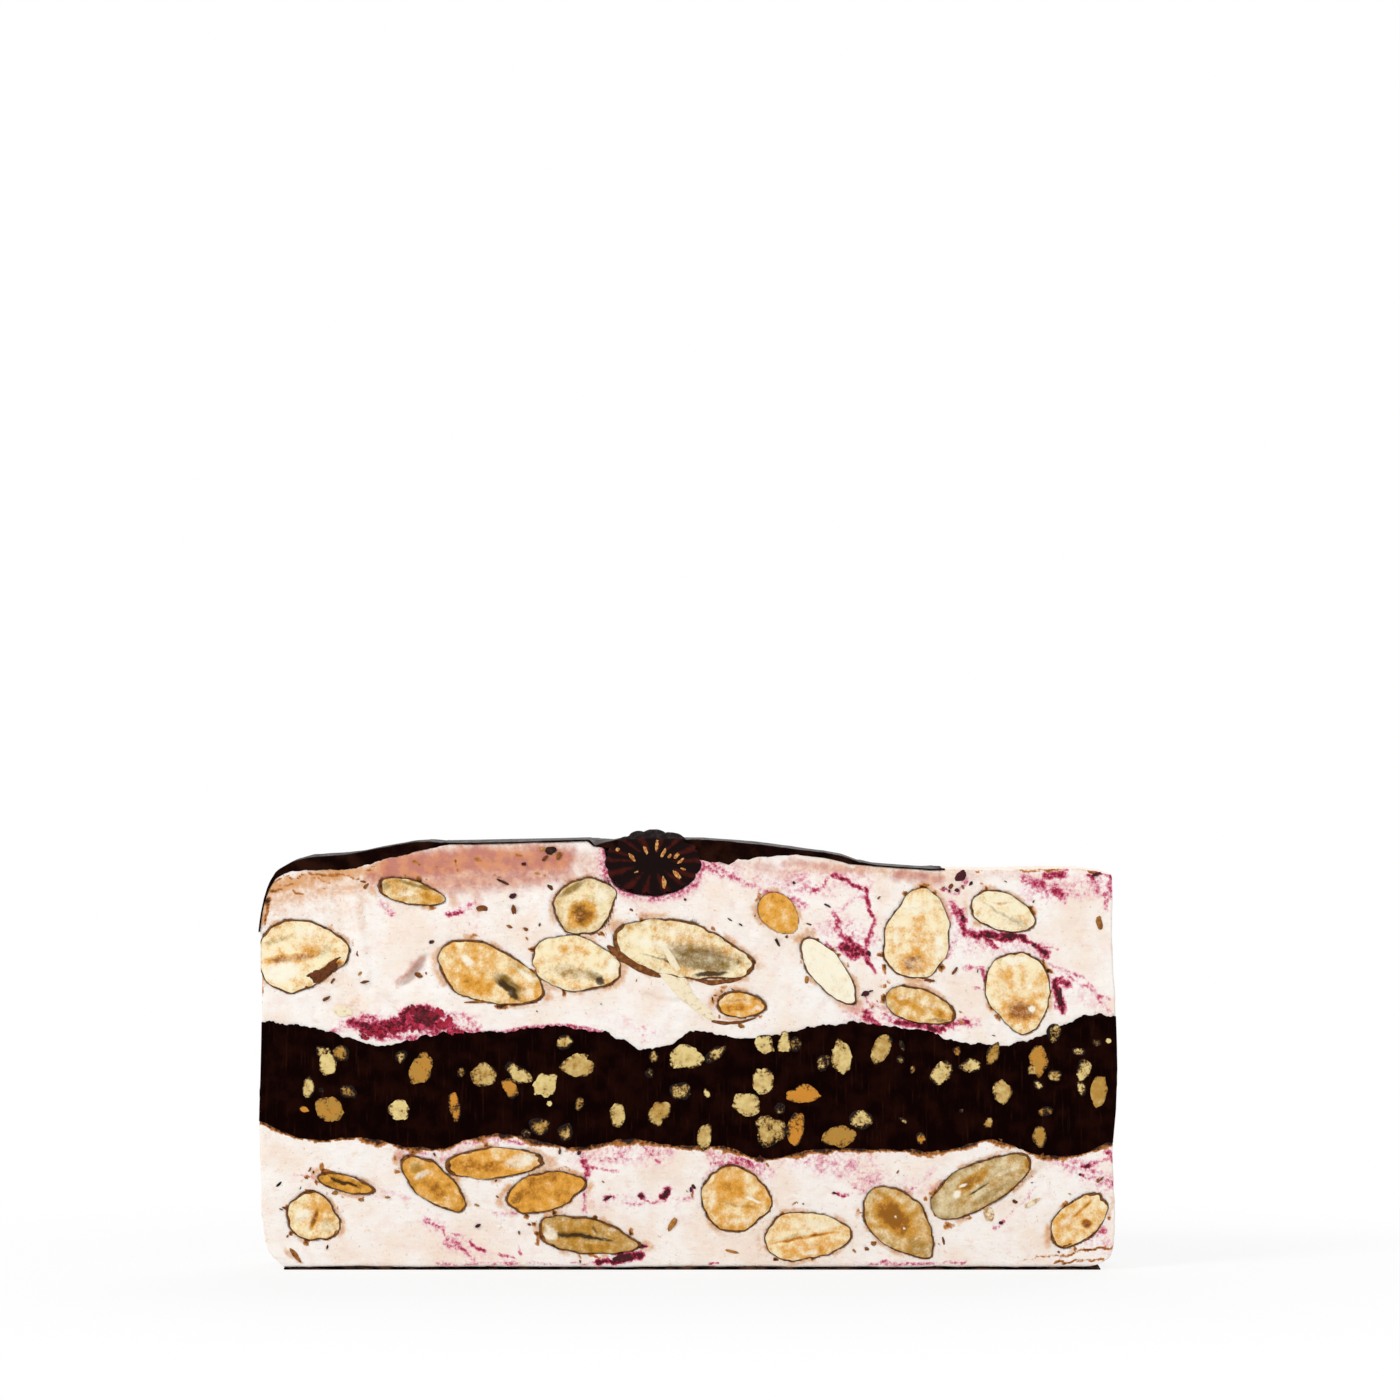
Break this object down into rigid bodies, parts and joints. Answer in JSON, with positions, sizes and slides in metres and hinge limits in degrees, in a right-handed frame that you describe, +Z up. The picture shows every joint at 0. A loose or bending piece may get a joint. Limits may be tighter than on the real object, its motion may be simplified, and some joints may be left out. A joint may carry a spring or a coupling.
{
  "type": "nougat slice",
  "caption": "Slice of layered soft nougat: almond nougat above and below a dark chocolate and chopped nut layer, with a thin chocolate coat and half a dried berry on top.",
  "frame": {"origin": "centre of the underside of the slice, on the surface it stands on", "axes": "+Z up, +X along the slice, -Y out of the shown cut face"},
  "size_m": [0.15, 0.02, 0.077],
  "materials": {
    "nougat": "matt, cream, slightly moist, stained pink by fruit",
    "chocolate": "satin, near black",
    "chocolate_coat": "satin, near black",
    "almond": "satin cut kernel in a brown skin",
    "berry": "dark, wrinkled, moist where cut"
  },
  "bodies": {
    "root": {"back_lower_almond_11": "almond", "back_lower_almond_12": "almond", "back_lower_almond_13": "almond", "back_lower_almond_14": "almond", "back_lower_almond_15": "almond", "back_lower_almond_16": "almond", "back_upper_almond_01": "almond", "back_upper_almond_02": "almond", "back_upper_almond_03": "almond", "back_upper_almond_04": "almond", "back_upper_almond_05": "almond", "back_upper_almond_06": "almond", "back_upper_almond_07": "almond", "back_upper_almond_08": "almond", "back_upper_almond_09": "almond", "back_upper_almond_10": "almond", "base_coat": "chocolate_coat", "berry": "berry", "chocolate_layer": "chocolate", "lower_almond_01": "almond", "lower_almond_02": "almond", "lower_almond_03": "almond", "lower_almond_04": "almond", "lower_almond_05": "almond", "lower_almond_06": "almond", "lower_almond_07": "almond", "lower_almond_08": "almond", "lower_almond_09": "almond", "lower_almond_10": "almond", "lower_almond_11": "almond", "lower_nougat": "nougat", "top_coat": "chocolate_coat", "upper_almond_01": "almond", "upper_almond_02": "almond", "upper_almond_03": "almond", "upper_almond_04": "almond", "upper_almond_05": "almond", "upper_almond_06": "almond", "upper_almond_07": "almond", "upper_almond_08": "almond", "upper_almond_09": "almond", "upper_almond_10": "almond", "upper_almond_11": "almond", "upper_almond_12": "almond", "upper_almond_13": "almond", "upper_nougat": "nougat"}
  },
  "joints": []
}
